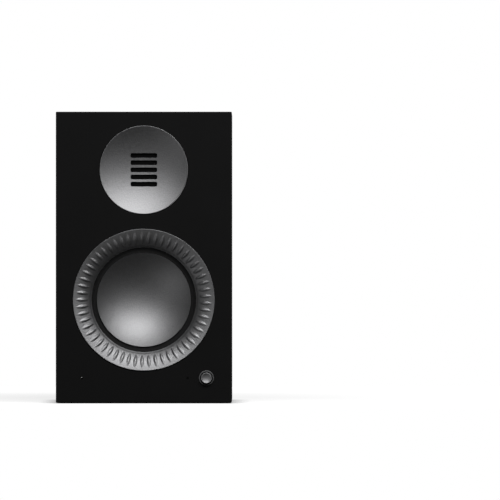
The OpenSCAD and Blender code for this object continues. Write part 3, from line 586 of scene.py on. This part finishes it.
def face_grid():
    """Points in x and z inside the plate, in rows, clear of its rim and its slots."""
    from_rim, from_slot = 0.8, 0.5
    row = 0.87  # distance between rows, as a share of the distance in them
    reach = int(FACE_DISH_R / FACE_GRID) + 1
    out = []
    for i in range(-reach, reach + 1):
        for j in range(-reach, reach + 1):
            x, z = (i + 0.5 * (j % 2)) * FACE_GRID, j * FACE_GRID * row
            if math.hypot(x, z) < FACE_DISH_R - from_rim and not in_a_slot(x, z, SLOT_EASE + from_slot):
                out.append((x, z))
    return out


def face_triangles(circle):
    """The plate seen from the front, as points in x and z and triangles between them.
    The circle's points come first, then each slot's outline."""
    flat, edges = [], []
    for loop in [circle] + [slot_outline(m, SLOT_EASE) for m in SLOT_MIDDLES]:
        start = len(flat)
        flat += loop
        edges += [(start + k, start + (k + 1) % len(loop)) for k in range(len(loop))]
    flat += face_grid()
    verts, _, tris, _, _, _ = delaunay_2d_cdt([Vector(p) for p in flat], edges, [], 0, 1e-5)
    solid = [
        t for t in tris
        if not in_a_slot(sum(verts[i].x for i in t) / 3, sum(verts[i].y for i in t) / 3, SLOT_EASE)
    ]
    return [(v.x, v.y) for v in verts], solid


def add_slot_walls(points, faces, behind):
    """Walls through each slot, with eased edges. behind is the number of the back face's first point."""
    start = FACE_AROUND
    for m in SLOT_MIDDLES:
        inner = slot_outline(m, 0)
        count = len(inner)
        lip = len(points)
        points += [(x, face_depth(x, z) + SLOT_EASE, z) for x, z in inner]
        foot = len(points)
        points += [(x, face_depth(x, z, FACE_T) - SLOT_EASE, z) for x, z in inner]
        for k in range(count):
            j = (k + 1) % count
            faces.append((start + k, lip + k, lip + j, start + j))
            faces.append((lip + k, foot + k, foot + j, lip + j))
            faces.append((foot + k, behind + start + k, behind + start + j, foot + j))
        start += count


def add_face_rim(points, faces, circle, behind):
    """The plate's rim and side, from the front face's edge to the back's.
    behind is the number of the back face's first point."""
    rim = eased([
        (FACE_DISH_R, -FACE_OUT), (FACE_R - FACE_CHAMFER, -FACE_OUT), (FACE_R, FACE_CHAMFER - FACE_OUT),
        (FACE_R, FACE_END_D), (FACE_DISH_R, FACE_END_D), (FACE_DISH_R, face_depth(FACE_DISH_R, 0, FACE_T)),
    ], FACE_EASE, closed=False)
    previous = 0
    for index, (radius, depth) in enumerate(rim[1:]):
        last = index == len(rim) - 2
        current = behind if last else len(points)
        if not last:
            points += [(x / FACE_DISH_R * radius, depth, z / FACE_DISH_R * radius) for x, z in circle]
        for k in range(FACE_AROUND):
            j = (k + 1) % FACE_AROUND
            faces.append((previous + k, previous + j, current + j, current + k))
        previous = current


def make_faceplate():
    """The dished plate, with its slots cut through and their edges eased."""
    turns = [2 * math.pi * k / FACE_AROUND for k in range(FACE_AROUND)]
    circle = [(FACE_DISH_R * math.cos(a), FACE_DISH_R * math.sin(a)) for a in turns]
    flat, tris = face_triangles(circle)
    behind = len(flat)
    points = [(x, face_depth(x, z), z) for x, z in flat]
    points += [(x, face_depth(x, z, FACE_T), z) for x, z in flat]
    faces = [tuple(t) for t in tris] + [tuple(behind + i for i in reversed(t)) for t in tris]
    add_slot_walls(points, faces, behind)
    add_face_rim(points, faces, circle, behind)
    world = np.array(points) * MM + np.array(TWEETER)
    plate = make_object("tweeter_faceplate_fine", world, faces, sharp=28)
    return stand_for(plate, "tweeter_faceplate", material=PLATE_SILVER)


# ---- front control ----

def make_knob():
    """The knob's rounded rim, its dished face and its side."""
    dish_r = KNOB_R - KNOB_RIM
    steps = 14
    ball = ball_radius(dish_r, KNOB_DISH)
    face = [
        (dish_r * k / steps, KNOB_DISH - KNOB_OUT + math.sqrt(ball ** 2 - (dish_r * k / steps) ** 2) - ball)
        for k in range(steps + 1)
    ]
    rest = eased([
        (dish_r, -KNOB_OUT), (KNOB_R - KNOB_CHAMFER[0], KNOB_FALL - KNOB_OUT),
        (KNOB_R, KNOB_CHAMFER[1] - KNOB_OUT), (KNOB_R, KNOB_END_D), (0.0, KNOB_END_D),
    ], KNOB_EASE, closed=False)
    knob = lathe("volume_knob_fine", KNOB, face + rest[1:], steps=128, closed=False, sharp=25)
    return stand_for(knob, "volume_knob", "knob", FINISHES["knob_metal"])


def make_bezel():
    """The ring round the knob, with chamfered edges and a sleeve in the baffle."""
    inside, outside = BEZEL_CHAMFER
    profile = eased([
        (BEZEL_R[0], inside - BEZEL_OUT), (BEZEL_R[0] + inside, -BEZEL_OUT),
        (BEZEL_R[1] - outside, -BEZEL_OUT), (BEZEL_R[1], outside - BEZEL_OUT),
        (BEZEL_R[1], 0.0), (BEZEL_SLEEVE_R, 0.0),
        (BEZEL_SLEEVE_R, BEZEL_END_D), (BEZEL_R[0], BEZEL_END_D),
    ], BEZEL_EASE)
    bezel = lathe("knob_bezel_fine", KNOB, profile, steps=128)
    return stand_for(bezel, "knob_bezel", material=FINISHES["bezel_metal"])


def make_lens(node, dome):
    """A round window in the baffle with a domed face, as deep as its CAD node."""
    low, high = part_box(node)
    centre = axis_of(node)
    radius = (high.x - low.x) / 2 / MM
    front, back = (low.y - FRONT_Y) / MM, (high.y - FRONT_Y) / MM
    steps = 12
    face = [(radius * k / steps, front + dome * (k / steps) ** 2) for k in range(steps + 1)]
    side = eased([face[-1], (radius, back), (0.0, back)], LENS_EASE, closed=False)
    lens = lathe(node + "_fine", centre, face + side[1:], steps=64, closed=False, sharp=40)
    return stand_for(lens, node, material=FINISHES[SLOT_OF[node]])


# ---- camera, light and floor, in metres ----

VIEW_WIDTH = 0.5
VIEW_ASIDE = 0.1062
VIEW_HEIGHT = 0.1534
LENS = 600.0  # millimetres, as SENSOR
SENSOR = 36.0
ROOM_GREY = 0.006
FLOOR_GREY = 0.8
PAINTED_SHADOW_FADE_AT = (0.25, 0.85)  # distances from the middle of the base between which the floor's glow grows out of a painted shadow to full white
PAINTED_SHADOW_GLOW = (0.76, 1.0)  # the glow at those distances; the dimmer one is painted shadow
CONTACT_SHADE = 0.02  # how far from the speaker the floor's glow is darkened as a painted contact shadow


def add_camera():
    """A long lens, square on to the baffle, set so that the picture is VIEW_WIDTH wide there."""
    data = bpy.data.cameras.new("camera")
    data.lens = LENS
    data.sensor_width = SENSOR
    data.clip_end = 100
    camera = bpy.data.objects.new("camera", data)
    bpy.context.scene.collection.objects.link(camera)
    camera.location = (VIEW_ASIDE, FRONT_Y - LENS / SENSOR * VIEW_WIDTH, VIEW_HEIGHT)
    camera.rotation_euler = (math.radians(90), 0, 0)
    bpy.context.scene.camera = camera


def add_light(name, azimuth, elevation, distance, size, power, skips=None):
    """A rectangular soft light that faces the middle of the speaker. Azimuth 0 is straight in front.
    The object in skips isn't lit by it."""
    target = (BODY_LOW + BODY_HIGH) / 2
    a, e = math.radians(azimuth), math.radians(elevation)
    away = Vector((math.sin(a) * math.cos(e), -math.cos(a) * math.cos(e), math.sin(e)))
    data = bpy.data.lights.new(name, "AREA")
    data.shape = "RECTANGLE"
    data.size, data.size_y = size
    data.energy = power
    light = bpy.data.objects.new(name, data)
    bpy.context.scene.collection.objects.link(light)
    light.location = target + away * distance
    light.rotation_euler = (-away).to_track_quat("-Z", "Y").to_euler()
    if skips:
        left_out = bpy.data.collections.new(name + "_skips")
        left_out.objects.link(skips)
        light.light_linking.receiver_collection = left_out
        left_out.collection_objects[0].light_linking.link_state = "EXCLUDE"


def add_world():
    """White behind the object, and a dim room for the object to reflect."""
    world = bpy.data.worlds.new("room")
    bpy.context.scene.world = world
    world.use_nodes = True
    nodes, links = world.node_tree.nodes, world.node_tree.links
    room = nodes["Background"]
    room.inputs["Color"].default_value = (ROOM_GREY, ROOM_GREY, ROOM_GREY, 1)
    white = nodes.new("ShaderNodeBackground")
    white.inputs["Color"].default_value = (1, 1, 1, 1)
    path = nodes.new("ShaderNodeLightPath")
    mix = nodes.new("ShaderNodeMixShader")
    links.new(path.outputs["Is Camera Ray"], mix.inputs["Fac"])
    links.new(room.outputs["Background"], mix.inputs[1])
    links.new(white.outputs["Background"], mix.inputs[2])
    links.new(mix.outputs["Shader"], nodes["World Output"].inputs["Surface"])


def floor_glow_with_painted_shadow(tree):
    """A glow that grows with distance from the middle of the base, being dimmer near it as a painted
    shadow, and darkened close to the speaker as a painted contact shadow.
    """
    place = tree.nodes.new("ShaderNodeTexCoord")
    distance = tree.nodes.new("ShaderNodeVectorMath")
    distance.operation = "LENGTH"
    tree.links.new(place.outputs["Object"], distance.inputs[0])
    spread = tree.nodes.new("ShaderNodeMapRange")
    spread.inputs["From Min"].default_value = PAINTED_SHADOW_FADE_AT[0]
    spread.inputs["From Max"].default_value = PAINTED_SHADOW_FADE_AT[1]
    tree.links.new(distance.outputs["Value"], spread.inputs["Value"])
    # painted shadow: the glow is dimmer near the speaker and full white further out
    painted_shadow_ramp = tree.nodes.new("ShaderNodeValToRGB")
    for end, value in zip(painted_shadow_ramp.color_ramp.elements, PAINTED_SHADOW_GLOW):
        end.color = (value, value, value, 1)
    tree.links.new(spread.outputs["Result"], painted_shadow_ramp.inputs["Fac"])
    # painted contact shadow: ambient occlusion darkens the glow beside and under the speaker
    painted_contact_shadow = tree.nodes.new("ShaderNodeAmbientOcclusion")
    painted_contact_shadow.inputs["Distance"].default_value = CONTACT_SHADE
    tree.links.new(painted_shadow_ramp.outputs["Color"], painted_contact_shadow.inputs["Color"])
    return painted_contact_shadow


def add_floor():
    """A patch of white floor that catches the speaker's shadow, with more shadow painted into its glow.
    Beyond it the white background goes on.
    """
    aside, before, behind = 0.6, 0.35, 0.9
    corners = [(-aside, -before, 0), (aside, -before, 0), (aside, behind, 0), (-aside, behind, 0)]
    floor = make_object("floor", corners, [(0, 1, 2, 3)])
    floor.visible_diffuse = False
    floor.visible_glossy = False
    floor.visible_shadow = False
    material = bpy.data.materials.new("white_floor")
    material.use_nodes = True
    tree = material.node_tree
    shader = tree.nodes["Principled BSDF"]
    shader.inputs["Base Color"].default_value = (FLOOR_GREY, FLOOR_GREY, FLOOR_GREY, 1)
    shader.inputs["Roughness"].default_value = 0.9
    shader.inputs["Specular IOR Level"].default_value = 0
    shader.inputs["Emission Strength"].default_value = 1.0
    # the floor's glow holds painted shadow round the speaker
    tree.links.new(floor_glow_with_painted_shadow(tree).outputs["Color"], shader.inputs["Emission Color"])
    floor.data.materials.append(material)
    return floor


def add_lights(floor):
    """A wide key from above, a low fill and a narrow light over the top, and three lights for the back.
    Only the key and the low fill light the floor."""
    add_light("key", azimuth=10, elevation=34, distance=2.2, size=(2.0, 1.0), power=31)
    add_light("top_light", azimuth=0, elevation=72, distance=1.8, size=(1.2, 0.5), power=1.3, skips=floor)
    add_light("low_fill", azimuth=-42, elevation=-22, distance=2.2, size=(1.2, 0.9), power=2.0)
    add_light("back_fill", azimuth=165, elevation=30, distance=2.0, size=(1.4, 1.0), power=30, skips=floor)
    for name, azimuth in (("left_fill", -125), ("right_fill", 125)):
        add_light(name, azimuth, elevation=25, distance=2.0, size=(0.8, 1.2), power=14, skips=floor)


bpy.context.scene.view_settings.view_transform = "Standard"
add_camera()
add_world()
add_lights(add_floor())
dress_cad()
make_trim_ring()
make_cone()
make_surround()
make_spider()
make_faceplate()
make_knob()
make_bezel()
make_lens("status_lens", dome=0.1)
make_lens("ir_window", dome=0.5)
